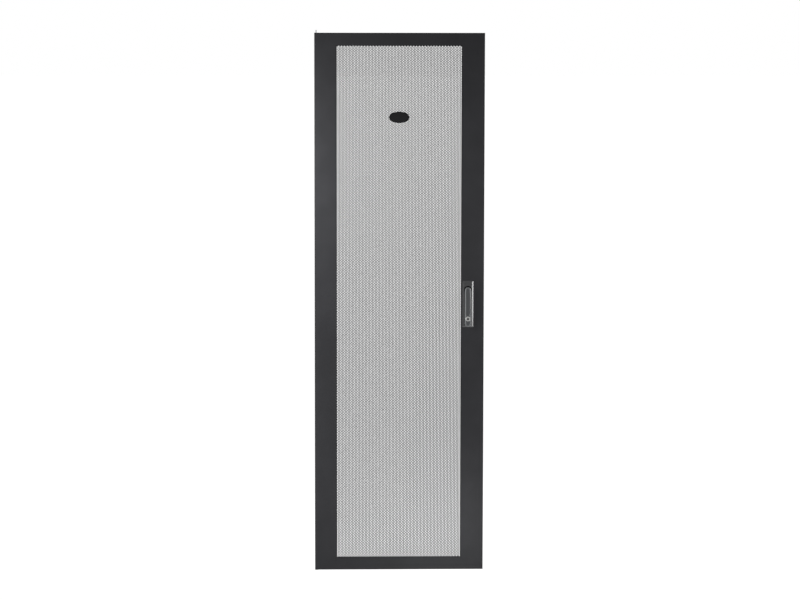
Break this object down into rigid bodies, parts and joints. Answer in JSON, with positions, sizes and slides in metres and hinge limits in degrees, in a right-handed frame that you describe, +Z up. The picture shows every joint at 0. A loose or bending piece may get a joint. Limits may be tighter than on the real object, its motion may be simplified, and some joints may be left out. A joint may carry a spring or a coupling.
{
  "type": "perforated rack door",
  "caption": "Tall black folded-steel cabinet door with a perforated panel, sprung hinge pin, swing handle and latch rods.",
  "frame": {"origin": "on the hinge axis, at the foot of the lower hinge bush", "axes": "+X from the hinge side to the latch side, +Y from the front face into the cabinet, +Z up along the hinge axis"},
  "size_m": [0.598, 0.0462, 1.9175],
  "materials": {
    "frame_coat": "black fine-texture powder coat",
    "panel_coat": "black powder coat on punched sheet",
    "brace_coat": "black powder coat",
    "zinc_plate": "zinc plated, satin",
    "bright_steel": "turned steel",
    "spring_steel": "drawn wire",
    "bush_nylon": "natural nylon",
    "handle_cast": "dark grey semi-gloss enamel on a die casting",
    "lever_cast": "dark grey semi-gloss enamel on a die casting",
    "lock_nickel": "nickel plate",
    "oval_black": "black gloss",
    "stud_brass": "yellow passivated",
    "buffer_rubber": "black rubber"
  },
  "bodies": {
    "door": {"front_sheet": "frame_coat", "top_edge": "frame_coat", "bottom_edge": "frame_coat", "hinge_edge": "frame_coat", "latch_edge": "frame_coat", "perforated_panel": "panel_coat", "hinge_upright": "brace_coat", "latch_upright": "brace_coat", "upper_cross_brace": "brace_coat", "lower_cross_brace": "brace_coat", "upper_hinge_bracket": "zinc_plate", "hinge_spring": "spring_steel", "lower_hinge_bracket": "zinc_plate", "lower_hinge_bush": "bush_nylon", "handle_base": "handle_cast", "upper_retainer": "zinc_plate", "lower_retainer": "zinc_plate", "retainer_screws": "bright_steel", "rod_guides": "zinc_plate", "oval_plate": "oval_black", "earth_stud": "stud_brass", "buffers": "buffer_rubber"},
    "sprung_pin": {"hinge_pin": "bright_steel", "hinge_pin_clip": "bright_steel"},
    "spindle_set": {"spindle": "zinc_plate", "lever_pin": "bright_steel", "crank": "zinc_plate", "crank_pins": "bright_steel", "crank_screw": "bright_steel"},
    "lever_set": {"lever": "lever_cast", "lock_barrel": "lock_nickel"},
    "lock_set": {"lock_plug": "lock_nickel", "lock_tongue": "zinc_plate", "lock_tongue_screw": "bright_steel"},
    "upper_rod_set": {"upper_rod": "zinc_plate"},
    "lower_rod_set": {"lower_rod": "zinc_plate"}
  },
  "joints": [
    {"name": "hinge_pin_draw", "type": "slide", "parent": "door", "child": "sprung_pin", "axis": [0, 0, -1], "range_m": [0, 0.011], "stiffness_N_per_m": 400, "springref_m": -0.01, "deforming": ["hinge_spring"]},
    {"name": "spindle_turn", "type": "hinge", "parent": "door", "child": "spindle_set", "pos_m": [0.5345, 0, 1.004], "axis": [0, 1, 0], "range_deg": [0, 90]},
    {"name": "lever_lift", "type": "hinge", "parent": "spindle_set", "child": "lever_set", "pos_m": [0.5345, -0.0184, 1.004], "axis": [-1, 0, 0], "range_deg": [0, 35]},
    {"name": "lock_turn", "type": "hinge", "parent": "lever_set", "child": "lock_set", "pos_m": [0.5345, -0.0264, 0.9023], "axis": [0, 1, 0], "range_deg": [0, 90]},
    {"name": "upper_rod_slide", "type": "slide", "parent": "door", "child": "upper_rod_set", "axis": [0, 0, -1], "range_m": [0, 0.0256]},
    {"name": "lower_rod_slide", "type": "slide", "parent": "door", "child": "lower_rod_set", "axis": [0, 0, 1], "range_m": [0, 0.0256]}
  ],
  "couplings": [
    {"joint": "upper_rod_slide", "follows": "spindle_turn", "m_per_rad": 0.016206},
    {"joint": "lower_rod_slide", "follows": "spindle_turn", "m_per_rad": 0.016206}
  ]
}
